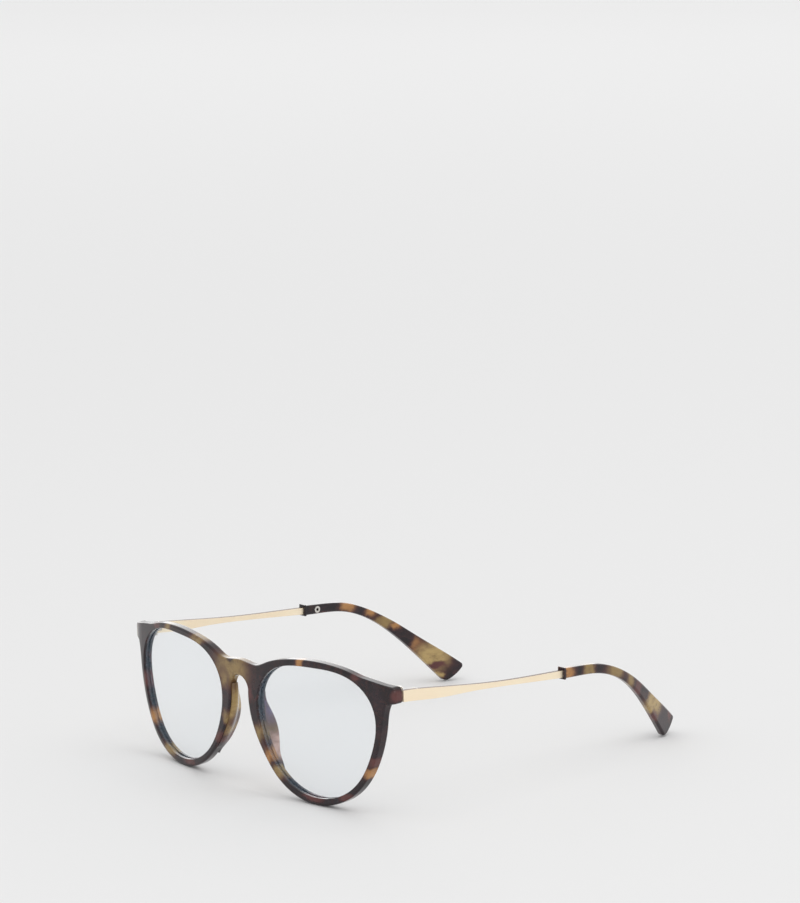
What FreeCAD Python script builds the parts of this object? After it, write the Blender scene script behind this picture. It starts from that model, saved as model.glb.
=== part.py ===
import FreeCAD, Part
import math
import os

# A pair of blue light glasses, in millimetres: keyhole-bridge plastic front, metal temples with
# plastic tips. X runs across the face, +Y runs back to the ears, +Z is up.
# "left" is the wearer's left, which is the +X side.

Vec = FreeCAD.Vector
UP = Vec(0, 0, 1)
BACK = Vec(0, 1, 0)

# ---- front: lens openings, rims and bridge
lens_width = 51.0
lens_height = 42.9
bridge_gap = 18.2            # between the two lens openings at their closest
foot_rim_width = 2.5         # rim under the lens opening, down to the surface it stands on
front_thickness = 3.4
front_curve_radius = 265.0
end_bend_radius = 20.0       # the tighter curve that takes the end pieces back to the hinges
end_bend_start = 6.4         # how far inboard of the end piece's edge the tighter curve starts
end_bend_turn = 62.0         # direction, in degrees, up to which the tighter curve is drawn
front_edge_round = 0.7
opening_edge_round = 0.3

lens_taper = 0.056           # shape of the lens outline: broad above, narrow below
lens_squareness = 0.021
lens_lean = 0.007
lens_top_lean = 0.008

# rim width at angles round the lens opening, from its centre, 0 towards the temple, 90 up
brow_widths = [(136, 3.4), (124, 2.4), (108, 2.1), (90, 2.2), (72, 1.9), (58, 2.0), (48, 2.8)]
cheek_widths = [(23, 3.9), (11, 2.3), (352, 2.05), (332, 2.0), (308, 2.0), (288, 2.2)]
foot_widths = [(250, 2.3), (230, 2.1), (213, 2.2), (199, 2.8), (186, 3.5), (175, 4.1)]

bridge_height = 5.3          # from the keyhole's crown to the bridge's top
keyhole_radius = 4.6
keyhole_rise = 8.8           # centre of the keyhole's arch above the lens centre line
brow_dip = (8.9, 0.5)        # where the bridge meets the brow: from the middle, below the bridge's top
brow_slope = 0.17            # fall of the brow's straight run down to the end piece
brow_run = 9.0               # length of that run
keyhole_straight = 1.5       # upright length of the keyhole's side below its arch

end_piece_reach = 7.2        # edge of the end piece beyond the lens opening
end_piece_height = 5.0
end_piece_rise = 18.8        # top of the end piece above the lens centre line
end_piece_top_round = 1.9
end_piece_low_round = 0.9
end_piece_flat = 3.3         # length of the end piece's lower edge
end_piece_lean = 0.2         # lower corner of the edge inboard of the upper one
end_piece_under = 0.7        # fall of the lower edge towards the rim
end_piece_trim = 0.4         # the butt face is cut this far into the end piece's rear face

# ---- lenses
lens_thickness = 2.0
lens_setback = 0.8           # lens face behind the rim's front face
lens_clearance = 0.03
bevel_height = 0.5           # the lens edge stands this far into the rim's groove
bevel_width = 1.0
groove_clearance = 0.05

# ---- nose pads: (angle, stand behind the rim, edge's distance from the opening, how far the
# pad's skirt stands out from the rim's nose side)
pad_sections = [(161, 0.6, 2.8, 0.8), (168, 1.8, 1.9, 0.85), (175, 3.0, 1.2, 0.85), (183, 3.9, 0.7, 0.75),
                (192, 4.2, 0.4, 0.65), (203, 3.5, 0.5, 0.5), (215, 2.0, 0.8, 0.3), (228, 0.5, 1.0, -0.2)]
pad_edge_thickness = 0.9
pad_apron_depth = 2.6        # the skirt comes this far forward over the rim
pad_root = 0.35              # the pad's lens side starts this far from the opening
pad_skirt_top = 0.6          # the skirt stands out most this far in front of the rim's rear face
pad_inner_wall = 0.8         # the pad's hidden inner face lies this far outside its lens side

# ---- hinges: three knuckles on a screw
hinge_inboard = 3.7          # hinge axis inboard of the end piece's edge
hinge_setback = 1.4          # hinge axis behind the butt face
knuckle_radius = 1.25
knuckle_height = 1.2         # each of the front's two knuckles
middle_knuckle_height = 1.3
knuckle_gap = 0.05
knuckle_neck = 1.2           # thickness of the web that carries a knuckle
neck_sink = 0.5              # the web runs this far into its plate
leaf_plate_width = 3.0
leaf_plate_depth = 1.5       # sunk into the end piece
temple_leaf_thickness = 0.8
temple_leaf_length = 6.0
temple_leaf_height = 2.8
temple_leaf_gap = 0.35       # between the temple's leaf and the front's knuckles

# ---- hinge screws
screw_radius = 0.6
screw_clearance = 0.05
screw_head_radius = 0.95
screw_head_height = 0.45
screw_head_round = 0.15
screw_slot_width = 0.25
screw_slot_depth = 0.2

# ---- temples: metal arm, its wire core, and the plastic tip over the core
butt_gap = 0.1               # between the arm's end and the end piece when open
lead_in = 4.0                # the arm is drawn from this far ahead of the butt face, then cut square
arm_length = 69.2            # from the butt face back to where the tip starts
arm_thickness = 1.3
arm_drop = 1.1               # top of the arm's front end below the end piece's top
# (share of the arm's length, fall of the centre line, height of the strip)
arm_profile = [(0.0, 0.0, 3.7), (0.135, 0.85, 3.7), (0.27, 1.75, 3.2), (0.4, 2.4, 2.3), (0.57, 3.35, 1.75),
               (0.745, 4.3, 1.85), (1.0, 5.6, 2.4)]
# (share of the arm's length, how far out of its start the centre line lies)
arm_plan = [(0.0, 0.0), (0.25, 0.3), (0.55, 0.5), (0.85, 0.1)]
tip_thickness = 2.8
# (distance behind the tip's start, fall of the centre line, height of the tip)
tip_profile = [(0.0, 5.4, 3.5), (9.5, 6.0, 3.3), (18.0, 7.1, 3.2), (25.5, 9.6, 3.1), (32.5, 13.3, 3.3),
               (38.9, 17.8, 4.0), (44.9, 22.8, 5.0), (50.6, 27.8, 6.4), (56.0, 32.6, 7.9), (60.3, 36.5, 8.9)]
# (distance behind the tip's start, how far out of the arm's start the centre line lies)
tip_plan = [(5.0, -0.5), (17.0, -1.0), (29.0, -2.2), (41.0, -5.4), (51.0, -8.8), (66.0, -14.2)]
tip_end_reach = 0.8          # bowed end beyond the last profile point
tip_end_slant = 0.75         # upper corner beyond a square end, lower corner short of it
tip_top_corner = 1.2         # corner rounds of the tip's end
tip_low_corner = 2.2
tip_lip_length = 0.8         # small lip round the tip's start
tip_lip_proud = 0.25
tip_edge_round = 0.8
core_height = 1.5
core_points = 6              # the core runs to this point of the tip's profile
core_lap = 3.0               # length of the core that is one with the end of the arm

# ---- tip screws, on the inner face
tip_screw_distance = 5.6    # behind the tip's start
tip_screw_head_radius = 1.2
tip_screw_head_height = 0.5
tip_screw_head_proud = 0.2
tip_screw_shank_radius = 0.4
tip_screw_shank_length = 2.3
tip_screw_socket_radius = 0.55
tip_screw_socket_depth = 0.25

overshoot = 20.0             # cutting shapes run this far past what they cut

# ---- places worked out from the sizes above
lens_x = bridge_gap / 2 + lens_width / 2
lens_z = foot_rim_width + lens_height / 2
end_x = lens_x + lens_width / 2 + end_piece_reach
end_top_z = lens_z + end_piece_rise
end_bottom_z = end_top_z - end_piece_height
bend_x = end_x - end_bend_start
keyhole_z = lens_z + keyhole_rise
bridge_top_z = keyhole_z + keyhole_radius + bridge_height
bend_angle = math.asin(bend_x / front_curve_radius)
bend_centre = Vec(bend_x - end_bend_radius * math.sin(bend_angle),
                  front_curve_radius * (1 - math.cos(bend_angle)) + end_bend_radius * math.cos(bend_angle), 0)


def frontY(x, depth=0.0):
    """Y of the front's face at x, or of the surface this depth behind it."""
    if abs(x) <= bend_x:
        return front_curve_radius - math.sqrt((front_curve_radius - depth) ** 2 - x * x)
    run = min(abs(x) - bend_centre.x, end_bend_radius - depth)
    return bend_centre.y - math.sqrt((end_bend_radius - depth) ** 2 - run * run)


butt_y = frontY(end_x) + front_thickness - end_piece_trim
hinge_x = end_x - hinge_inboard
hinge_y = butt_y + hinge_setback
hinge_height = 2 * knuckle_height + middle_knuckle_height + 2 * knuckle_gap
arm_z = end_top_z - arm_drop - arm_profile[0][2] / 2
hinge_low_z = arm_z - hinge_height / 2
arm_x = end_x - arm_thickness / 2
tip_start_y = butt_y + arm_length
bevel_near = lens_setback + (lens_thickness - bevel_width) / 2
bevel_far = bevel_near + bevel_width


def mirrored(shape):
    """The wearer's-right twin of a wearer's-left shape."""
    return shape.mirror(Vec(0, 0, 0), Vec(1, 0, 0))


def box(x0, x1, y0, y1, z0, z1):
    return Part.makeBox(x1 - x0, y1 - y0, z1 - z0, Vec(x0, y0, z0))


def splineThrough(points, **ends):
    curve = Part.BSplineCurve()
    curve.interpolate(points, **ends)
    return curve


def lensRadius(turn):
    return (1 + lens_lean * math.sin(2 * turn) - lens_top_lean * math.cos(3 * turn)
            + lens_taper * math.sin(3 * turn) - lens_squareness * math.cos(4 * turn))


def lensOutlinePoint(turn):
    """Point of the unit lens outline, before it is fitted to the lens's width and height."""
    return lensRadius(turn) * math.cos(turn), lensRadius(turn) * math.sin(turn)


unit_outline = [lensOutlinePoint(math.radians(a)) for a in range(360)]
unit_left = min(p[0] for p in unit_outline)
unit_right = max(p[0] for p in unit_outline)
unit_low = min(p[1] for p in unit_outline)
unit_high = max(p[1] for p in unit_outline)


def lensPoint(angle, out=0.0):
    """Point at an angle round the left lens opening, moved out square to it; its Y is 0."""
    def fitted(degrees):
        u, w = lensOutlinePoint(math.radians(degrees))
        x = lens_x + lens_width * ((u - unit_left) / (unit_right - unit_left) - 0.5)
        z = lens_z + lens_height * ((w - unit_low) / (unit_high - unit_low) - 0.5)
        return Vec(x, 0, z)
    along = (fitted(angle + 0.5) - fitted(angle - 0.5)).normalize()
    return fitted(angle) + Vec(along.z, 0, -along.x) * out


def lensFace(out):
    """Flat face of the left lens outline, grown by out."""
    count = 36
    points = [lensPoint(i * 360.0 / count, out) for i in range(count)]
    edge = splineThrough(points, PeriodicFlag=True).toShape()
    return Part.Face(Part.Wire([edge]))


def throughFront(face):
    """A flat XZ face made into a prism that runs right through the front."""
    face.translate(Vec(0, -overshoot, 0))
    return face.extrude(BACK * (butt_y + 2 * overshoot))


def curvedSlab(near, far):
    """The space between two depths behind the front's face, over the whole front."""
    def side(depth, sign):
        radius = end_bend_radius - depth
        turn_end = math.radians(end_bend_turn)
        places = []
        for turn in (bend_angle, (bend_angle + turn_end) / 2, turn_end):
            places.append(Vec(sign * (bend_centre.x + radius * math.sin(turn)),
                              bend_centre.y - radius * math.cos(turn), 0))
        return places

    def crossing(depth):
        left, right = side(depth, 1), side(depth, -1)
        crown = Vec(0, depth, 0)
        arcs = [Part.Arc(right[2], right[1], right[0]), Part.Arc(right[0], crown, left[0]),
                Part.Arc(left[0], left[1], left[2])]
        return [arc.toShape() for arc in arcs], right[2], left[2]

    front_arcs, front_start, front_end = crossing(near)
    back_arcs, back_start, back_end = crossing(far)
    closers = [Part.makeLine(front_start, back_start), Part.makeLine(front_end, back_end)]
    wire = Part.Wire(Part.__sortEdges__(front_arcs + back_arcs + closers))
    return Part.Face(wire).extrude(UP * (bridge_top_z + 2 * overshoot)).translate(UP * -overshoot)


def browEdge():
    """The whole upper edge of the front, from one end piece over the bridge to the other."""
    half = [Vec(brow_dip[0], 0, bridge_top_z - brow_dip[1])]
    half += [lensPoint(angle, width) for angle, width in brow_widths]
    half += [Vec(end_x - inboard, 0, end_top_z + brow_slope * inboard) for inboard in (brow_run, brow_run / 2, 0.0)]
    other_half = [Vec(-p.x, 0, p.z) for p in reversed(half)]
    return splineThrough(other_half + [Vec(0, 0, bridge_top_z)] + half).toShape()


def cheekEdges():
    """Left half of the lower edge: end piece, temple side, foot and nose side up to the keyhole."""
    outer_top = Vec(end_x, 0, end_top_z)
    outer_low = Vec(end_x - end_piece_lean, 0, end_bottom_z)
    inner_low = Vec(end_x - end_piece_flat, 0, end_bottom_z - end_piece_under)
    rim = [inner_low] + [lensPoint(angle, width) for angle, width in cheek_widths]
    rim.append(Vec(lens_x, 0, 0))
    rim += [lensPoint(angle, width) for angle, width in foot_widths]
    rim += [Vec(keyhole_radius, 0, keyhole_z - keyhole_straight), Vec(keyhole_radius, 0, keyhole_z)]
    return [Part.makeLine(outer_top, outer_low), Part.makeLine(outer_low, inner_low),
            splineThrough(rim).toShape()]


def roundedCorners(prism):
    """Rounds the end pieces' corners, which run straight back through the prism."""
    upper, lower = [], []
    for edge in prism.Edges:
        start, end = edge.Vertexes[0].Point, edge.Vertexes[-1].Point
        straight_back = abs(start.x - end.x) < 1e-6 and abs(start.z - end.z) < 1e-6
        if straight_back and abs(start.x) > end_x - 2 * end_piece_lean:
            corners = upper if start.z > (end_top_z + end_bottom_z) / 2 else lower
            corners.append(edge)
    prism = prism.makeFillet(end_piece_low_round, lower)
    upper = [edge for edge in prism.Edges if any(edge.isSame(corner) for corner in upper)] or upper
    return prism.makeFillet(end_piece_top_round, upper)


def samplePoints(edge):
    span = edge.LastParameter - edge.FirstParameter
    return [edge.valueAt(edge.FirstParameter + span * part) for part in (0.2, 0.5, 0.8)]


def onFace(point, depth):
    return abs(point.y - frontY(point.x, depth)) < 0.005


def outerEdges(shape):
    """Edges of the front's curved faces and butt faces, without the smooth seams across them."""
    chosen = []
    for edge in shape.Edges:
        first, middle, last = samplePoints(edge)
        seam = abs(first.x - last.x) < 1e-6 and abs(middle.x) < end_x - end_bend_start / 2
        on_one_face = [all(onFace(p, depth) for p in (first, middle, last)) for depth in (0.0, front_thickness)]
        on_butt = all(abs(p.y - butt_y) < 0.001 for p in (first, middle, last))
        if not seam and (any(on_one_face) or on_butt):
            chosen.append(edge)
    return chosen


def wallEdges(shape, wall):
    """Edges of the front's curved faces that also lie on a wall cut through them."""
    return [edge for edge in shape.Edges
            if all(Part.Vertex(p).distToShape(wall)[0] < 0.005 for p in samplePoints(edge))
            and any(all(onFace(p, depth) for p in samplePoints(edge)) for depth in (0.0, front_thickness))]


def frontBlank():
    """The front before its pockets are cut: outline, curve, rounded edges and lens openings."""
    left_edges = cheekEdges()
    right_edges = [mirrored(edge) for edge in left_edges]
    keyhole = Part.Arc(Vec(keyhole_radius, 0, keyhole_z), Vec(0, 0, keyhole_z + keyhole_radius),
                       Vec(-keyhole_radius, 0, keyhole_z)).toShape()
    wire = Part.Wire(Part.__sortEdges__([browEdge(), keyhole] + left_edges + right_edges))
    blank = roundedCorners(throughFront(Part.Face(wire)))
    blank = blank.common(curvedSlab(0, front_thickness))
    behind_butt = box(bend_x, end_x + overshoot, butt_y, butt_y + overshoot, 0, end_top_z + overshoot)
    blank = blank.cut(behind_butt).cut(mirrored(behind_butt))
    blank = blank.makeFillet(front_edge_round, outerEdges(blank))
    opening = throughFront(lensFace(0))
    for hole in (opening, mirrored(opening)):
        blank = blank.cut(hole)
        blank = blank.makeFillet(opening_edge_round, wallEdges(blank, hole))
    return blank


def lensBlank(out, near, far):
    """Lens outline grown by out, between two depths behind the front's face."""
    return throughFront(lensFace(out)).common(curvedSlab(near, far))


def leftLens():
    body = lensBlank(-lens_clearance, lens_setback, lens_setback + lens_thickness)
    return body.fuse(lensBlank(bevel_height, bevel_near, bevel_far)).removeSplitter()


def leftGroove():
    return lensBlank(bevel_height + groove_clearance, bevel_near - groove_clearance,
                     bevel_far + groove_clearance)


def leftFrontLeaf():
    """Hinge leaf moulded into the end piece, with the two outer knuckles."""
    low, top = hinge_low_z, hinge_low_z + hinge_height
    plate_back = leafBackY()
    plate = box(hinge_x - leaf_plate_width / 2, hinge_x + leaf_plate_width / 2,
                plate_back - leaf_plate_depth, plate_back, low, top)
    leaf = plate
    for z in (low, top - knuckle_height):
        leaf = leaf.fuse(Part.makeCylinder(knuckle_radius, knuckle_height, Vec(hinge_x, hinge_y, z)))
        leaf = leaf.fuse(box(hinge_x - knuckle_neck / 2, hinge_x + knuckle_neck / 2,
                             plate_back - neck_sink, hinge_y, z, z + knuckle_height))
    lower_hole = Part.makeCylinder(screw_radius, knuckle_height, Vec(hinge_x, hinge_y, low))
    upper_hole = Part.makeCylinder(screw_radius + screw_clearance, knuckle_height,
                                   Vec(hinge_x, hinge_y, top - knuckle_height))
    return leaf.removeSplitter().cut(lower_hole).cut(upper_hole)


def leafBackY():
    """Back of the sunk plate: level with the end piece's rear face at the hinge."""
    return frontY(hinge_x, front_thickness)


def leftTempleLeaf():
    """Middle knuckle, with the leaf that is soldered to the arm's inner face."""
    z = hinge_low_z + knuckle_height + knuckle_gap
    middle = z + middle_knuckle_height / 2
    inner_face = arm_x - arm_thickness / 2
    knuckle = Part.makeCylinder(knuckle_radius, middle_knuckle_height, Vec(hinge_x, hinge_y, z))
    web = box(hinge_x, inner_face, hinge_y - knuckle_neck / 2, hinge_y + knuckle_radius,
              z, z + middle_knuckle_height)
    start = hinge_y - knuckle_neck
    plate = box(hinge_x + knuckle_radius + temple_leaf_gap, end_x, start, start + temple_leaf_length,
                middle - temple_leaf_height / 2, middle + temple_leaf_height / 2)
    hole = Part.makeCylinder(screw_radius + screw_clearance, middle_knuckle_height, Vec(hinge_x, hinge_y, z))
    return knuckle.fuse(web).fuse(plate).removeSplitter().cut(hole)


def leftHingeScrew():
    top = hinge_low_z + hinge_height
    shank = Part.makeCylinder(screw_radius, hinge_height, Vec(hinge_x, hinge_y, hinge_low_z))
    head = Part.makeCylinder(screw_head_radius, screw_head_height, Vec(hinge_x, hinge_y, top))
    head_top = top + screw_head_height
    rim = [e for e in head.Edges if e.BoundBox.ZMin > head_top - 1e-3 and len(e.Vertexes) == 1]
    head = head.makeFillet(screw_head_round, rim)
    slot = box(hinge_x - screw_head_radius, hinge_x + screw_head_radius, hinge_y - screw_slot_width / 2,
               hinge_y + screw_slot_width / 2, head_top - screw_slot_depth, head_top)
    return shank.fuse(head).removeSplitter().cut(slot)


def ribbonEdges(centres, widths, across, end_reach=0.0, end_slant=0.0):
    """Outline of a strip of changing width along a smooth line, square or bowed at its far end."""
    line = splineThrough(centres)
    sides = ([], [])
    for centre, width in zip(centres, widths):
        along = line.tangent(line.parameter(centre))[0].normalize()
        square = across.cross(along).normalize()
        for side, sign in zip(sides, (1, -1)):
            side.append(centre + square * (sign * width / 2))
    first, second = sides
    first[-1] += along * end_slant
    second[-1] -= along * end_slant
    edges = [splineThrough(first).toShape(), splineThrough(second).toShape(),
             Part.makeLine(first[0], second[0])]
    if end_reach:
        end = centres[-1] + along * end_reach
        edges.append(Part.Arc(first[-1], end, second[-1]).toShape())
    else:
        edges.append(Part.makeLine(first[-1], second[-1]))
    return edges


def ribbon(centres, widths, across, *end_shape):
    return Part.Face(Part.Wire(Part.__sortEdges__(ribbonEdges(centres, widths, across, *end_shape))))


def planLine():
    """Centre line of the temple seen from above, from ahead of the butt face to past the tip."""
    line = [Vec(arm_x, butt_y - lead_in, 0)]
    line += [Vec(arm_x + out, butt_y + share * arm_length, 0) for share, out in arm_plan]
    line += [Vec(arm_x + out, tip_start_y + along, 0) for along, out in tip_plan]
    return line


def planStrip(thickness):
    """The temple seen from above, as a tall strip of even thickness."""
    centres = planLine()
    strip = ribbon(centres, [thickness] * len(centres), UP)
    strip.translate(UP * -overshoot)
    return strip.extrude(UP * (end_top_z + 2 * overshoot))


def sideFace(profile, *end_shape):
    """The arm or the tip as it looks from the side; profile distances are behind the butt face."""
    centres = [Vec(0, butt_y + along, arm_z - fall) for along, fall, height in profile]
    return ribbon(centres, [height for along, fall, height in profile], Vec(1, 0, 0), *end_shape)


def sideBlock(profile, *end_shape):
    return sideFace(profile, *end_shape).extrude(Vec(end_x * 2, 0, 0))


def settledTipProfile():
    """The tip's profile, with its fall scaled so that its end comes down to the rims' level."""
    start_fall, end_fall = tip_profile[0][1], tip_profile[-1][1]
    scale = 1.0
    for attempt in range(5):
        profile = [(arm_length + along, start_fall + (fall - start_fall) * scale, height)
                   for along, fall, height in tip_profile]
        lowest = sideFace(profile, tip_end_reach, tip_end_slant).optimalBoundingBox().ZMin
        scale += lowest / (end_fall - start_fall)
    return profile


def leftArm(profile_of_tip):
    """Metal arm, one piece with the core wire that runs on inside the tip."""
    profile = [(-lead_in, 0.0, arm_profile[0][2])]
    profile += [(share * arm_length, fall, height) for share, fall, height in arm_profile]
    (before, before_fall, _), (last, last_fall, _) = profile[-2:]
    lap_fall = last_fall - core_lap * (last_fall - before_fall) / (last - before)
    core_line = [(last - core_lap, lap_fall, core_height)]
    core_line += [(along, fall, core_height) for along, fall, height in profile_of_tip[1:core_points]]
    side = sideBlock(profile).fuse(sideBlock(core_line))
    arm = side.common(planStrip(arm_thickness))
    return arm.cut(box(0, 2 * end_x, -lead_in, butt_y + butt_gap, 0, 2 * end_top_z))


def tipBlock(profile_of_tip):
    """The tip as a block of its side shape, the corners of its end rounded."""
    block = sideBlock(profile_of_tip, tip_end_reach, tip_end_slant)
    along, fall, height = profile_of_tip[-1]
    end = Vec(0, butt_y + along, arm_z - fall)
    for radius, above in ((tip_top_corner, True), (tip_low_corner, False)):
        corner = []
        for edge in block.Edges:
            spot = edge.valueAt((edge.FirstParameter + edge.LastParameter) / 2)
            across = abs(edge.tangentAt(edge.FirstParameter).x) > 0.99
            if across and (Vec(0, spot.y, spot.z) - end).Length < height and (spot.z > end.z) == above:
                corner.append(edge)
        block = block.makeFillet(radius, corner)
    return block


def tipLip():
    """Small lip round the tip's start, where the metal arm runs in."""
    half_width = tip_thickness / 2 + tip_lip_proud
    half_height = tip_profile[0][2] / 2 + tip_lip_proud
    line = splineThrough(planLine())
    x = line.intersectCC(Part.LineSegment(Vec(0, tip_start_y, 0), Vec(2 * end_x, tip_start_y, 0)))[0].X
    z = arm_z - tip_profile[0][1]
    lip = box(x - half_width, x + half_width, tip_start_y, tip_start_y + tip_lip_length,
              z - half_height, z + half_height)
    return lip.makeFillet(tip_lip_proud, lip.Edges)


def leftTip(profile_of_tip):
    """Plastic tip before the arm's core and the screw are cut from it."""
    tip = tipBlock(profile_of_tip).common(planStrip(tip_thickness))
    rim = []
    for edge in tip.Edges:
        middle = (edge.FirstParameter + edge.LastParameter) / 2
        if abs(edge.tangentAt(middle).x) < 0.7 and edge.valueAt(middle).y > tip_start_y + 0.5:
            rim.append(edge)
    return tip.makeFillet(tip_edge_round, rim).fuse(tipLip()).removeSplitter()


def leftTipScrew(profile_of_tip):
    """Small screw through the tip's inner face into the core."""
    y = tip_start_y + tip_screw_distance
    x = splineThrough(planLine()).intersectCC(Part.LineSegment(Vec(0, y, 0), Vec(2 * end_x, y, 0)))[0].X
    side_line = splineThrough([Vec(0, butt_y + along, arm_z - fall) for along, fall, height in profile_of_tip])
    upright = Part.Plane(Vec(0, y, 0), BACK)
    z = side_line.intersect(upright)[0][0].Z
    face = Vec(x - tip_thickness / 2, y, z)
    inward = Vec(1, 0, 0)
    head_face = face - inward * tip_screw_head_proud
    head = Part.makeCylinder(tip_screw_head_radius, tip_screw_head_height, head_face, inward)
    shank = Part.makeCylinder(tip_screw_shank_radius, tip_screw_shank_length, head_face, inward)
    socket = Part.makeCylinder(tip_screw_socket_radius, tip_screw_socket_depth, head_face, inward)
    return head.fuse(shank).removeSplitter(), socket


def padSection(angle, stand, edge_out, apron):
    """Section of the pad square to the rim: lens side, edge, nose side and the part over the rim."""
    rim_out = rimWidthAt(angle)
    def place(out, back):
        spot = lensPoint(angle, out)
        return Vec(spot.x, frontY(spot.x) + front_thickness + back, spot.z)
    lens_side = [place(pad_root, 0), place(min(pad_root, edge_out), stand * 0.6), place(edge_out, stand)]
    nose_side = [place(edge_out + pad_edge_thickness, stand * 0.97),
                 place((edge_out + rim_out) / 2 + pad_edge_thickness * 0.8, stand * 0.45),
                 place(rim_out + apron, -pad_skirt_top), place(rim_out + apron * 0.6, -pad_apron_depth)]
    skin = splineThrough(lens_side + nose_side).toShape()
    inner_front = place(pad_root + pad_inner_wall, -pad_apron_depth)
    inner_back = place(pad_root + pad_inner_wall, -pad_skirt_top)
    closers = Part.makePolygon([nose_side[-1], inner_front, inner_back, lens_side[0]])
    return Part.Wire([skin] + closers.Edges)


def rimWidthAt(angle):
    """Width of the rim's nose side at an angle round the opening."""
    below = [(a, w) for a, w in foot_widths if a >= angle]
    above = [(a, w) for a, w in foot_widths if a < angle]
    keyhole_angle = math.degrees(math.atan2(keyhole_z - lens_z, keyhole_radius - lens_x))
    keyhole_width = (lensPoint(keyhole_angle) - Vec(keyhole_radius, 0, keyhole_z)).Length
    high = below[-1]
    low = above[0] if above else (keyhole_angle, keyhole_width)
    part = (angle - low[0]) / (high[0] - low[0])
    return low[1] + (high[1] - low[1]) * part


def leftPad():
    sections = [padSection(*values) for values in pad_sections]
    return Part.makeLoft(sections, True, False)


def leftSide():
    """Every piece of the wearer's left side, fitted to each other, under its plain name."""
    profile_of_tip = settledTipProfile()
    arm = leftArm(profile_of_tip)
    tip_screw, socket = leftTipScrew(profile_of_tip)
    return {
        "lens": leftLens(),
        "nose_pad": leftPad(),
        "hinge_front": leftFrontLeaf(),
        "hinge_temple": leftTempleLeaf().cut(arm),
        "hinge_screw": leftHingeScrew(),
        "temple_arm": arm.cut(tip_screw),
        "temple_tip": leftTip(profile_of_tip).cut(arm).cut(tip_screw),
        "tip_screw": tip_screw.cut(socket),
    }


def glasses():
    """All pieces by node name, with the middle of the whole object's box over the origin."""
    front = frontBlank()
    side = leftSide()
    pieces = {}
    for name, shape in side.items():
        if name == "nose_pad":
            shape = shape.cut(front)
        pieces[name + "_left"] = shape
        pieces[name + "_right"] = mirrored(shape)
    pocket = leftGroove()
    for cutter in (pocket, side["hinge_front"]):
        front = front.cut(cutter).cut(mirrored(cutter))
    pieces["front_frame"] = front
    boxes = [shape.optimalBoundingBox() for shape in pieces.values()]
    middle_y = (min(b.YMin for b in boxes) + max(b.YMax for b in boxes)) / 2
    for shape in pieces.values():
        shape.translate(Vec(0, -middle_y, 0))
    print("hinge axis x %.3f y %.3f, knuckles z %.3f to %.3f" % (hinge_x, hinge_y - middle_y, hinge_low_z,
                                                                 hinge_low_z + hinge_height))
    print("front face y %.3f, butt face y %.3f" % (-middle_y, butt_y - middle_y))
    return pieces


os.makedirs("parts", exist_ok=True)
for node, shape in sorted(glasses().items()):
    whole = shape.isValid() and len(shape.Solids) == 1
    print("%-20s volume %9.2f mm3  %s" % (node, shape.Volume, "ok" if whole else "BROKEN"))
    shape.exportStep("parts/" + node + ".step")
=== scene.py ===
import bpy
import math
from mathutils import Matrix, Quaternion, Vector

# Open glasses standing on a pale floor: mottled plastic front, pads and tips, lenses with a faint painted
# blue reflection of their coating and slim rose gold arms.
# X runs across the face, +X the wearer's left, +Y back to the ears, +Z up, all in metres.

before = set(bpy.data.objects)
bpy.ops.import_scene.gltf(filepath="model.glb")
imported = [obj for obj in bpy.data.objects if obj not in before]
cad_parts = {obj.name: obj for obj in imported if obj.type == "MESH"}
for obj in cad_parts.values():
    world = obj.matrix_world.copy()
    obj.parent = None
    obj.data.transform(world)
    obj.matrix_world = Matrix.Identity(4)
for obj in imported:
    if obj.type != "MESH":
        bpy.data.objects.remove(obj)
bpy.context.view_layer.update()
mm = 0.001
print("frame loaded:", len(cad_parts), "pieces of the glasses")


# a shader socket that can be added to, multiplied, and taken from a number
class Sock:
    def __init__(self, maker, socket):
        self.maker = maker
        self.socket = socket

    def math(self, operation, first, second):
        return self.maker.node("ShaderNodeMath", {"operation": operation}, {0: first, 1: second})

    def __add__(self, other):
        return self.math("ADD", self, other)

    def __mul__(self, other):
        return self.math("MULTIPLY", self, other)

    def __rsub__(self, other):
        return self.math("SUBTRACT", other, self)


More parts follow.
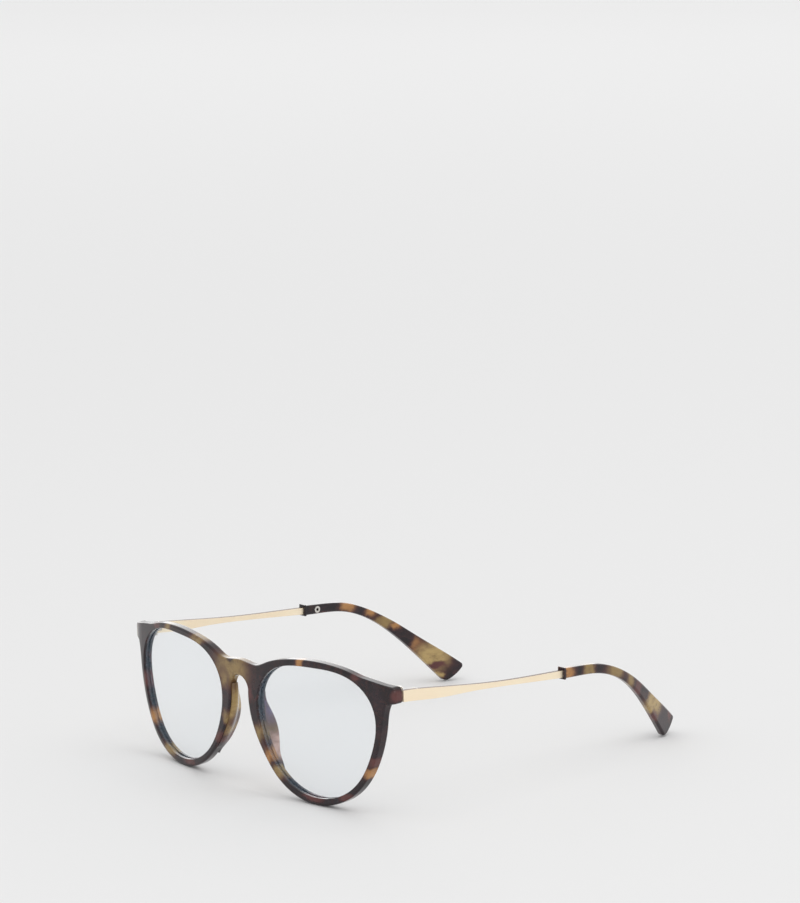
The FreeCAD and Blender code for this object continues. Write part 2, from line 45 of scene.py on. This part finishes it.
# a tree of shader nodes, and the few kinds of node that are used in it
class Shading:
    mixSockets = {"share": 0, "first": 6, "second": 7, "result": 2}     # the mix node's sockets for colours
    noiseMiddle = 0.5

    def __init__(self, tree):
        self.tree = tree

    # settings are the node's own choices, inputs its sockets by number or by name
    def node(self, kind, settings, inputs, output=0):
        made = self.tree.nodes.new(kind)
        for key, value in settings.items():
            setattr(made, key, value)
        for place, value in inputs.items():
            self.feed(made.inputs[place], value)
        return Sock(self, made.outputs[output])

    def feed(self, socket, value):
        if isinstance(value, Sock):
            self.tree.links.new(value.socket, socket)
        else:
            socket.default_value = value

    def place(self, kind="Object"):
        return self.node("ShaderNodeTexCoord", {}, {}, output=kind)

    def vector(self, operation, first, second, output=0):
        return self.node("ShaderNodeVectorMath", {"operation": operation}, {0: first, 1: second}, output)

    def scaled(self, vector, size):
        return self.vector("MULTIPLY", vector, size)

    def shifted(self, vector, offset):
        return self.vector("ADD", vector, offset)

    def length(self, vector):
        return self.node("ShaderNodeVectorMath", {"operation": "LENGTH"}, {0: vector}, output="Value")

    # distance from a middle, counted in half sizes; a half size of None leaves that direction out
    def reach(self, vector, middle, half):
        moved = self.shifted(vector, tuple(-c * mm for c in middle))
        return self.length(self.scaled(moved, tuple(1 / (h * mm) if h else 0.0 for h in half)))

    def noise(self, vector, scale, detail=2.0, rough=0.5, distortion=0.0, output="Fac"):
        inputs = {"Scale": scale, "Detail": detail, "Roughness": rough, "Distortion": distortion}
        return self.node("ShaderNodeTexNoise", {}, {"Vector": vector, **inputs}, output)

    # the low result below low, the high one above high, smooth between
    def step(self, value, low, high, results=(0.0, 1.0)):
        inputs = {"From Min": low, "From Max": high, "To Min": results[0], "To Max": results[1]}
        settings = {"interpolation_type": "SMOOTHSTEP"}
        return self.node("ShaderNodeMapRange", settings, {"Value": value, **inputs})

    def mix(self, share, first, second):
        place = self.mixSockets
        inputs = {place["share"]: share, place["first"]: first, place["second"]: second}
        return self.node("ShaderNodeMix", {"data_type": "RGBA"}, inputs, place["result"])

    def bump(self, height, strength, distance):
        return self.node("ShaderNodeBump", {}, {"Strength": strength, "Distance": distance, "Height": height})


# one material
class Finish(Shading):
    def __init__(self, name, **settings):
        self.material = bpy.data.materials.new(name)
        self.material.use_nodes = True
        super().__init__(self.material.node_tree)
        self.shader = self.tree.nodes["Principled BSDF"]
        self.set(**settings)

    def set(self, **values):
        for key, value in values.items():
            self.feed(self.shader.inputs[key.replace("_", " ")], value)

    def put(self, *names):
        for name in names:
            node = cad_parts[name]
            node.data.materials.clear()
            node.data.materials.append(self.material)


# screen colour from 0 to 255, as the linear colour that shaders read
def colour(*channels):
    shares = [channel / 255 for channel in channels]
    linear = [share / 12.92 if share <= 0.04 else ((share + 0.055) / 1.055) ** 2.4 for share in shares]
    return (*linear, 1.0)


def bothSides(name):
    return [name + "_left", name + "_right"]


# ---- mottled plastic of the front, the pads and the tips

hues = {
    "dark": colour(37, 25, 32),
    "deep": colour(20, 12, 17),
    "umber": colour(82, 48, 42),
    "red": colour(90, 50, 48),
    "amber": colour(172, 124, 74),
    "olive": colour(144, 120, 76),
    "tan": colour(178, 152, 100),
    "mauve": colour(104, 92, 128),
    "pink": colour(196, 164, 152),
}

tortoise = {
    "surface": {"IOR": 1.5, "Specular_IOR_Level": 0.3},
    "coat": {"Coat_Weight": 0.3, "Coat_Roughness": 0.04, "Coat_IOR": 1.5},
    "wander": {"scale": 190.0, "detail": 3.0, "rough": 0.6},
    "wanderBy": 2.2 * mm,        # how far a patch's edge wanders
    "cloud": {"scale": 120.0, "detail": 3.0, "rough": 0.6, "distortion": 0.8},
    "cloudLies": (1.0, 0.5, 1.0),
    "cloudEdge": (0.35, 0.7),
    "stain": {"scale": 75.0, "detail": 2.0, "rough": 0.5, "distortion": 1.2},
    "stainFrom": (0.31, 0.17, 0.05),
    "patchEdge": (0.4, 1.2),     # in half sizes of the patch
    "borderless": ("dark", "red"),
    "borderEdge": (0.75, 1.6),
    "borderShare": 0.8,
    "streak": {"scale": 380.0, "detail": 4.0, "rough": 0.65, "distortion": 1.5},
    "streakLies": (1.0, 0.4, 1.0),
    "streakEdge": (0.42, 0.78),
    "streakShare": 0.5,
    "veil": {"scale": 210.0, "detail": 3.0, "rough": 0.6, "distortion": 0.6},
    "veilFrom": (0.2, 0.1, 0.4),
    "veilEdge": (0.5, 0.8),
    "veilShare": 0.45,
    "fine": {"scale": 2600.0, "detail": 3.0, "rough": 0.55},
    "fineEdge": (0.4, 0.7),
    "roughness": 0.1,
    "roughnessRise": 0.05,
    "ripple": {"scale": 260.0, "detail": 2.0},
    "rippleBump": {"strength": 0.05, "distance": 0.4 * mm},
}

# patch: colour, middle (mm), half sizes (mm)
frontPatches = [
    ("olive", (-3.4, -70, 39.2), (9.4, 9, 7.6)),
    ("dark", (-4.0, -71, 42.8), (2.4, 8, 1.8)),
    ("red", (5.6, -69, 32.0), (2.4, 8, 3.8)),
    ("dark", (6.6, -69, 25.4), (2.2, 8, 3.6)),
    ("olive", (9.2, -69, 18.6), (2.6, 8, 4.2)),
    ("amber", (13.4, -69, 12.8), (2.6, 8, 3.4)),
    ("olive", (18.6, -69, 8.2), (3.4, 8, 2.8)),
    ("amber", (29.1, -69, 46.4), (1.9, 8, 3.2)),
    ("red", (67.4, -62, 40.0), (2.4, 6, 2.2)),
    ("red", (52.7, -66, 44.8), (2.0, 6, 1.2)),
    ("red", (59.6, -64, 17.6), (3.2, 8, 2.2)),
    ("amber", (58.0, -64, 13.7), (3.4, 8, 2.2)),
    ("red", (47.5, -67, 4.4), (4.0, 8, 1.5)),
    ("red", (33.5, -69, 2.4), (5.0, 8, 1.3)),
    ("olive", (-41.2, -67, 46.0), (2.2, 8, 2.8)),
    ("red", (-49.1, -66, 44.8), (3.2, 8, 2.0)),
    ("olive", (-22.5, -69, 45.6), (4.4, 8, 2.0)),
    ("olive", (-67.0, -60, 39.0), (2.0, 9, 4.4)),
    ("red", (-59.6, -64, 24.5), (2.4, 8, 4.2)),
    ("amber", (-54.2, -65, 13.0), (3.2, 8, 3.0)),
    ("olive", (-42.8, -67, 3.8), (4.6, 8, 2.6)),
    ("red", (-29.8, -69, 2.2), (4.6, 8, 1.6)),
    ("dark", (-7.6, -69, 28.6), (2.0, 8, 4.6)),
    ("olive", (-7.6, -68, 35.2), (2.4, 8, 4.0)),
    ("olive", (-7.0, -69, 21.4), (2.4, 8, 3.4)),
    ("red", (-11.6, -69, 14.6), (2.8, 8, 3.2)),
]

padPatches = [
    ("tan", (-5.0, -67, 22.0), (7.0, 9, 14.0)),
    ("umber", (-7.0, -66, 20.4), (2.6, 6, 3.4)),
    ("dark", (-9.4, -68, 29.0), (2.6, 3, 4.6)),
    ("red", (-12.0, -66, 13.6), (3.8, 8, 3.0)),
    ("dark", (-17.0, -66, 8.6), (4.2, 8, 3.4)),
    ("tan", (9.0, -67, 20.0), (6.0, 9, 12.0)),
    ("red", (6.4, -66, 31.0), (1.6, 8, 2.6)),
    ("mauve", (11.4, -66, 27.4), (3.6, 8, 6.4)),
    ("pink", (13.8, -66, 16.4), (4.0, 8, 6.6)),
    ("mauve", (12.6, -63, 23.4), (2.6, 3, 3.2)),
]

leftTipPatches = [
    ("amber", (67, 11.4, 34.3), (8, 3.2, 5)),
    ("dark", (67, 8.9, 34), (8, 1.6, 5)),
    ("olive", (67, 21.6, 34), (8, 2.8, 5)),
    ("olive", (66, 34.6, 31), (8, 5.0, 4)),
    ("olive", (65, 42.4, 26), (8, 2.4, 4)),
    ("red", (63, 47.5, 22), (8, 3.0, 5)),
    ("tan", (59.5, 58.0, 13.8), (8, 6.4, 6.0)),
    ("dark", (61.7, 53.0, 18.6), (8, 1.6, 2.4)),
    ("red", (60, 58.4, 9.4), (8, 3.0, 3.0)),
    ("red", (56, 69.6, 7.6), (8, 2.0, 3.4)),
    ("dark", (58, 64.8, 5.2), (8, 3.6, 4.6)),
]

rightTipPatches = [
    ("red", (-65, 17.6, 32.0), (8, 3.4, 1.2)),
    ("amber", (-64, 28.6, 33), (8, 3.8, 2.6)),
    ("amber", (-63, 38.4, 29.2), (8, 2.8, 2.2)),
    ("olive", (-61.8, 43.6, 24.6), (8, 5.4, 2.6)),
    ("amber", (-60.6, 48.0, 23.4), (8, 2.2, 1.5)),
    ("amber", (-58.2, 55.6, 14.2), (8, 2.6, 3.6)),
    ("tan", (-56, 61.0, 9.6), (8, 7.6, 6.6)),
    ("red", (-55.6, 63.0, 6.2), (8, 4.6, 1.6)),
    ("tan", (-55.6, 63.0, 2.6), (8, 2.6, 1.6)),
    ("dark", (-53.2, 71.2, 4.4), (8, 3.0, 5.2)),
]


# dark plastic with soft-edged patches laid in it and streaks and veils over all
# red stains lie under the patches where stainEdge is given
def mottled(name, patches, stainEdge=None):
    look = tortoise
    finish = Finish(name, **look["surface"], **look["coat"])
    at = finish.place()
    wander = finish.shifted(finish.noise(at, **look["wander"], output="Color"), (-finish.noiseMiddle,) * 3)
    moved = finish.shifted(at, finish.scaled(wander, (2 * look["wanderBy"],) * 3))
    cloud = finish.noise(finish.scaled(at, look["cloudLies"]), **look["cloud"])
    shade = finish.mix(finish.step(cloud, *look["cloudEdge"]), hues["deep"], hues["dark"])
    if stainEdge:
        stain = finish.noise(finish.shifted(at, look["stainFrom"]), **look["stain"])
        shade = finish.mix(finish.step(stain, *stainEdge), shade, hues["red"])
    for hue, middle, half in patches:
        reach = finish.reach(moved, middle, half)
        if hue not in look["borderless"]:
            border = (1 - finish.step(reach, *look["borderEdge"])) * look["borderShare"]
            shade = finish.mix(border, shade, hues["umber"])
        shade = finish.mix(1 - finish.step(reach, *look["patchEdge"]), shade, hues[hue])
    streak = finish.noise(finish.scaled(at, look["streakLies"]), **look["streak"])
    shade = finish.mix(finish.step(streak, *look["streakEdge"]) * look["streakShare"], shade, hues["umber"])
    veil = finish.noise(finish.shifted(at, look["veilFrom"]), **look["veil"])
    shade = finish.mix(finish.step(veil, *look["veilEdge"]) * look["veilShare"], shade, hues["deep"])
    fine = finish.step(finish.noise(at, **look["fine"]), *look["fineEdge"])
    finish.set(Base_Color=shade, Roughness=fine * look["roughnessRise"] + look["roughness"],
               Normal=finish.bump(finish.noise(at, **look["ripple"]), **look["rippleBump"]))
    return finish


mottled("frontTortoise", frontPatches, stainEdge=(0.66, 0.76)).put("front_frame")
mottled("padTortoise", padPatches).put(*bothSides("nose_pad"))
mottled("leftTipTortoise", leftTipPatches, stainEdge=(0.64, 0.74)).put("temple_tip_left")
mottled("rightTipTortoise", rightTipPatches, stainEdge=(0.64, 0.74)).put("temple_tip_right")
print("mottled plastic laid on the front, pads and tips")

# ---- lenses

# the lenses' pale blue base colour, lit by the sky, is a painted reflection of the coating's blue glints
lens = {"Base_Color": colour(176, 208, 230), "Roughness": 0.02, "IOR": 1.5, "Alpha": 0.06}

Finish("lensPaintedBlueReflection", **lens).put(*bothSides("lens"))
print("lenses coated")

# ---- metal

arm = {
    "gold": colour(255, 240, 212),
    "shadow": colour(246, 218, 184),
    # painted dark reflection along the arm's top faces
    "edge": colour(92, 70, 58),
    "edgeTurn": (0.6, 0.85),     # how far a face looks up before it takes the painted dark reflection of the arm's top
    "metallic": 0.45,
    "brushed": {"scale": 5200.0, "detail": 3.0, "rough": 0.6},
    "brushedLies": (1.0, 0.06, 1.0),
    "broad": {"scale": 60.0, "detail": 2.0},
    "broadEdge": (0.3, 0.75),
    "shadowShare": 0.3,
    "roughness": 0.36,
    "roughnessRise": 0.12,
    "bump": {"strength": 0.08, "distance": 0.2 * mm},
}


def armFinish():
    finish = Finish("roseGold", Metallic=arm["metallic"])
    at = finish.place()
    brushed = finish.noise(finish.scaled(at, arm["brushedLies"]), **arm["brushed"])
    broad = finish.step(finish.noise(at, **arm["broad"]), *arm["broadEdge"])
    side = finish.mix(broad * arm["shadowShare"], arm["gold"], arm["shadow"])
    # faces that look up are painted dark: a painted dark reflection along the arm's top
    upward = finish.node("ShaderNodeSeparateXYZ", {}, {0: finish.place("Normal")}, output="Z")
    finish.set(Base_Color=finish.mix(finish.step(upward, *arm["edgeTurn"]), side, arm["edge"]),
               Roughness=brushed * arm["roughnessRise"] + arm["roughness"],
               Normal=finish.bump(brushed, **arm["bump"]))
    return finish


steel = {
    "worn": colour(120, 112, 104),
    "wornShare": 0.4,
    "turned": {"scale": 2400.0, "detail": 3.0, "rough": 0.6},
    "turnedLies": (1.0, 1.0, 6.0),
    "roughnessRise": 0.12,
    "bump": {"strength": 0.1, "distance": 0.1 * mm},
    # painted shade of the screw socket's recess, drawn as a dark disc
    "socket": colour(40, 34, 34),
    "socketShadeEdge": (0.45, 0.62),  # radius in mm
}


# middle of a piece, in mm, from the box round it
def middleOf(name):
    corners = [Vector(corner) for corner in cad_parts[name].bound_box]
    return tuple(sum(corners, Vector()) / len(corners) / mm)


# steel; where the middle of a screw is given, a dark disc of painted shade standing in for the socket's
# recess is drawn round it on both of its ends
def steelFinish(name, base, rough, socket=None):
    finish = Finish(name, Metallic=1.0)
    at = finish.place()
    turned = finish.noise(finish.scaled(at, steel["turnedLies"]), **steel["turned"])
    shade = finish.mix(turned * steel["wornShare"], base, steel["worn"])
    if socket:
        reach = finish.reach(at, socket, (None, 1, 1))
        # dark disc of painted shade where the socket's recess would be
        shade = finish.mix(finish.step(reach, *steel["socketShadeEdge"]), steel["socket"], shade)
    finish.set(Base_Color=shade, Roughness=turned * steel["roughnessRise"] + rough,
               Normal=finish.bump(turned, **steel["bump"]))
    return finish


armFinish().put(*bothSides("temple_arm"))
hingeSteel = steelFinish("hingeSteel", base=colour(214, 206, 196), rough=0.22)
hingeSteel.put(*bothSides("hinge_front"), *bothSides("hinge_temple"))
screwSteel = steelFinish("screwSteel", base=colour(226, 222, 216), rough=0.18)
screwSteel.put(*bothSides("hinge_screw"))
socket = middleOf("tip_screw_left")
tipScrewSteel = steelFinish("tipScrewSteel", base=colour(232, 228, 222), rough=0.2, socket=socket)
tipScrewSteel.put(*bothSides("tip_screw"))
print("metal finished")

# ---- studio: floor, light and camera

studio = {
    "floorSize": 16,
    "floor": colour(233, 233, 233),
    "farFloorPaintedLight": colour(250, 250, 250),
    "paintedLightFrom": (0.5, 3.5),       # distance from the glasses over which the floor is painted paler, painted light on the far floor
    "floorRoughness": 0.9,
    "sky": colour(238, 238, 238),
    "skyStrength": (0.92, 2.4),  # away from the glow and in it
    "glowSide": (-0.75, 0.64, 0.22),
    "glowSpread": (0.86, 0.97),
}

lights = {
    "topLight": {"place": (0.8, 0.5, 3.2), "aim": (0, 0.5, 0), "size": (3.0, 3.0), "power": 26},
    "edgeLight": {"place": (1.25, -1.05, 0.22), "aim": (0, -0.07, 0.02), "size": (0.26, 0.42), "power": 3.2},
}

view = {
    "azimuth": 49.08,
    "elevation": 10.59,
    "roll": -1.44,
    "distance": 1.1818,
    "aim": (0.0207, -0.0184, 0.1064),
    "lens": 143.8,
    "sensor": 36,
    "clip": (0.05, 60),
}


def studioFloor():
    bpy.ops.object.select_all(action="DESELECT")
    bpy.ops.mesh.primitive_plane_add(size=studio["floorSize"], location=(0, 0, 0))
    floor = bpy.context.active_object
    floor.name = "studioFloor"
    finish = Finish("paleFloor", Roughness=studio["floorRoughness"], Specular_IOR_Level=0.0)
    # the floor is painted paler far from the glasses, painted light standing in for light on the far floor
    away = finish.step(finish.length(finish.place()), *studio["paintedLightFrom"])
    finish.set(Base_Color=finish.mix(away, studio["floor"], studio["farFloorPaintedLight"]))
    floor.data.materials.append(finish.material)


# an even sky, brighter where it lies towards glowSide
def studioSky():
    world = bpy.data.worlds.new("studioSky")
    world.use_nodes = True
    sky = Shading(world.node_tree)
    side = Vector(studio["glowSide"]).normalized()
    aligned = sky.vector("DOT_PRODUCT", sky.place("Generated"), side, output="Value")
    background = sky.tree.nodes["Background"]
    sky.feed(background.inputs["Color"], studio["sky"])
    sky.feed(background.inputs["Strength"], sky.step(aligned, *studio["glowSpread"], studio["skyStrength"]))
    bpy.context.scene.world = world


def softLight(name, place, aim, size, power):
    light = bpy.data.lights.new(name, "AREA")
    light.shape = "RECTANGLE"
    light.size, light.size_y = size
    light.energy = power
    lamp = bpy.data.objects.new(name, light)
    lamp.location = place
    lamp.rotation_mode = "QUATERNION"
    lamp.rotation_quaternion = (Vector(place) - Vector(aim)).to_track_quat("Z", "Y")
    bpy.context.scene.collection.objects.link(lamp)


def camera():
    data = bpy.data.cameras.new("camera")
    data.sensor_width = view["sensor"]
    data.lens = view["lens"]
    data.clip_start, data.clip_end = view["clip"]
    made = bpy.data.objects.new("camera", data)
    turn, lift = math.radians(view["azimuth"]), math.radians(view["elevation"])
    back = Vector((math.sin(turn) * math.cos(lift), -math.cos(turn) * math.cos(lift), math.sin(lift)))
    made.rotation_mode = "QUATERNION"
    made.location = Vector(view["aim"]) + back * view["distance"]
    roll = Quaternion((0, 0, 1), math.radians(view["roll"]))
    made.rotation_quaternion = back.to_track_quat("Z", "Y") @ roll
    bpy.context.scene.collection.objects.link(made)
    bpy.context.scene.camera = made


studioFloor()
studioSky()
for name, settings in lights.items():
    softLight(name, **settings)
camera()
bpy.context.scene.view_settings.view_transform = "Standard"
print("studio and camera ready")
